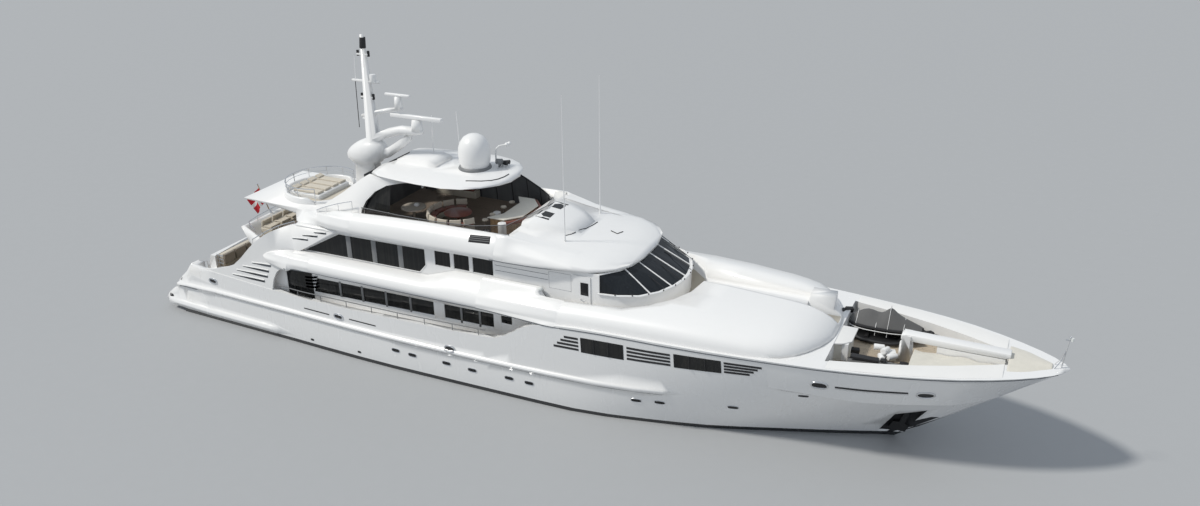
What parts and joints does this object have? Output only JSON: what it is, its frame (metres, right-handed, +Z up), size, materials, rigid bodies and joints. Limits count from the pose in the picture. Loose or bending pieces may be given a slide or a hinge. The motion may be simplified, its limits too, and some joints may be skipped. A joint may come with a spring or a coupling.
{
  "type": "motor yacht scale model",
  "caption": "Three-deck motor yacht at 1:2 scale with raked bow, tinted window bands, oval hardtop, radar mast, deck crane, sliding doors, propellers, rudders and stabiliser fins.",
  "frame": {"origin": "amidships on the centreline at the waterline", "axes": "+X to the bow, +Y to port, +Z up"},
  "size_m": [30.5822, 6.1042, 11.8008],
  "materials": {
    "hull_paint": "glossy white yacht enamel",
    "deckhouse_paint": "glossy white yacht enamel",
    "dark_glass": "black tinted glass",
    "steel": "polished stainless steel",
    "bronze": "machined propeller bronze",
    "boat_cover": "grey woven canvas cover",
    "cushion_cloth": "cream outdoor cloth",
    "varnished_wood": "varnished red hardwood"
  },
  "bodies": {
    "yacht": {"anchor_port": "steel", "anchor_starboard": "steel", "arch_port": "deckhouse_paint", "arch_starboard": "deckhouse_paint", "bridge_glass": "dark_glass", "coach_roof": "deckhouse_paint", "belt_port": "deckhouse_paint", "belt_starboard": "deckhouse_paint", "crane_cradle": "deckhouse_paint", "deck_locker": "deckhouse_paint", "ensign_staff": "varnished_wood", "hardtop": "deckhouse_paint", "hull": "hull_paint", "main_glass_port": "dark_glass", "main_glass_starboard": "dark_glass", "main_house": "deckhouse_paint", "main_sofa": "cushion_cloth", "mast": "deckhouse_paint", "stern_stairs_port": "deckhouse_paint", "stern_stairs_starboard": "deckhouse_paint", "stern_wing_port": "hull_paint", "stern_wing_starboard": "hull_paint", "radome": "deckhouse_paint", "shaft_port": "steel", "shaft_starboard": "steel", "sun_bar": "deckhouse_paint", "sun_deck": "deckhouse_paint", "sun_pads": "cushion_cloth", "sun_sofa": "cushion_cloth", "sun_table": "varnished_wood", "swim_platform": "hull_paint", "tender_port": "boat_cover", "tender_starboard": "boat_cover", "upper_deck": "deckhouse_paint", "upper_glass_aft_port": "dark_glass", "upper_glass_aft_starboard": "dark_glass", "upper_glass_fore_port": "dark_glass", "upper_glass_fore_starboard": "dark_glass", "upper_house": "deckhouse_paint", "upper_sofa": "cushion_cloth", "windlass": "deckhouse_paint"},
    "transom_door_leaf": {"transom_door": "deckhouse_paint"},
    "saloon_door_port_leaf": {"saloon_door_port": "dark_glass"},
    "saloon_door_starboard_leaf": {"saloon_door_starboard": "dark_glass"},
    "upper_aft_door_leaf": {"upper_aft_door": "dark_glass"},
    "bridge_door_port_leaf": {"bridge_door_port": "deckhouse_paint"},
    "bridge_door_starboard_leaf": {"bridge_door_starboard": "deckhouse_paint"},
    "radar_lower_bar": {"radar_lower": "deckhouse_paint"},
    "radar_upper_bar": {"radar_upper": "deckhouse_paint"},
    "crane_turret": {"crane_pedestal": "deckhouse_paint"},
    "crane_arm": {"crane_boom": "deckhouse_paint"},
    "propeller_port_wheel": {"propeller_port": "bronze"},
    "propeller_starboard_wheel": {"propeller_starboard": "bronze"},
    "rudder_port_blade": {"rudder_port": "hull_paint"},
    "rudder_starboard_blade": {"rudder_starboard": "hull_paint"},
    "stabiliser_port_fin": {"stabiliser_port": "hull_paint"},
    "stabiliser_starboard_fin": {"stabiliser_starboard": "hull_paint"}
  },
  "joints": [
    {"name": "transom_door_hinge", "type": "hinge", "parent": "yacht", "child": "transom_door_leaf", "pos_m": [-14.0045, 0, 1.13], "axis": [0, 1, 0], "range_deg": [0, 80]},
    {"name": "saloon_door_port_slide", "type": "slide", "parent": "yacht", "child": "saloon_door_port_leaf", "axis": [0, 1, 0], "range_m": [0, 0.74]},
    {"name": "saloon_door_starboard_slide", "type": "slide", "parent": "yacht", "child": "saloon_door_starboard_leaf", "axis": [0, -1, 0], "range_m": [0, 0.74]},
    {"name": "upper_aft_door_slide", "type": "slide", "parent": "yacht", "child": "upper_aft_door_leaf", "axis": [0, 1, 0], "range_m": [0, 0.6]},
    {"name": "bridge_door_port_slide", "type": "slide", "parent": "yacht", "child": "bridge_door_port_leaf", "axis": [-1, 0, 0], "range_m": [0, 0.5]},
    {"name": "bridge_door_starboard_slide", "type": "slide", "parent": "yacht", "child": "bridge_door_starboard_leaf", "axis": [-1, 0, 0], "range_m": [0, 0.5]},
    {"name": "radar_lower_spin", "type": "hinge", "parent": "yacht", "child": "radar_lower_bar", "pos_m": [-4.925, 0, 7.71], "axis": [0, 0, 1], "continuous": true},
    {"name": "radar_upper_spin", "type": "hinge", "parent": "yacht", "child": "radar_upper_bar", "pos_m": [-5.575, 0, 8.4], "axis": [0, 0, 1], "continuous": true},
    {"name": "crane_slew", "type": "hinge", "parent": "yacht", "child": "crane_turret", "pos_m": [10.875, 0, 2.5], "axis": [0, 0, 1], "range_deg": [-120, 65]},
    {"name": "crane_luff", "type": "hinge", "parent": "crane_turret", "child": "crane_arm", "pos_m": [10.875, 0, 3.265], "axis": [0, -1, 0], "range_deg": [0, 60]},
    {"name": "propeller_port_spin", "type": "hinge", "parent": "yacht", "child": "propeller_port_wheel", "pos_m": [-12.64, 1.05, -1.011], "axis": [1, 0, 0], "continuous": true},
    {"name": "propeller_starboard_spin", "type": "hinge", "parent": "yacht", "child": "propeller_starboard_wheel", "pos_m": [-12.64, -1.05, -1.011], "axis": [1, 0, 0], "continuous": true},
    {"name": "rudder_port_turn", "type": "hinge", "parent": "yacht", "child": "rudder_port_blade", "pos_m": [-13.3, 1.05, -0.65], "axis": [0, 0, 1], "range_deg": [-35, 35]},
    {"name": "rudder_starboard_turn", "type": "hinge", "parent": "yacht", "child": "rudder_starboard_blade", "pos_m": [-13.3, -1.05, -0.65], "axis": [0, 0, 1], "range_deg": [-35, 35]},
    {"name": "stabiliser_port_turn", "type": "hinge", "parent": "yacht", "child": "stabiliser_port_fin", "pos_m": [-1.2, 2.5, -0.96], "axis": [0, 1, 0], "range_deg": [-20, 20]},
    {"name": "stabiliser_starboard_turn", "type": "hinge", "parent": "yacht", "child": "stabiliser_starboard_fin", "pos_m": [-1.2, -2.5, -0.96], "axis": [0, 1, 0], "range_deg": [-20, 20]}
  ]
}
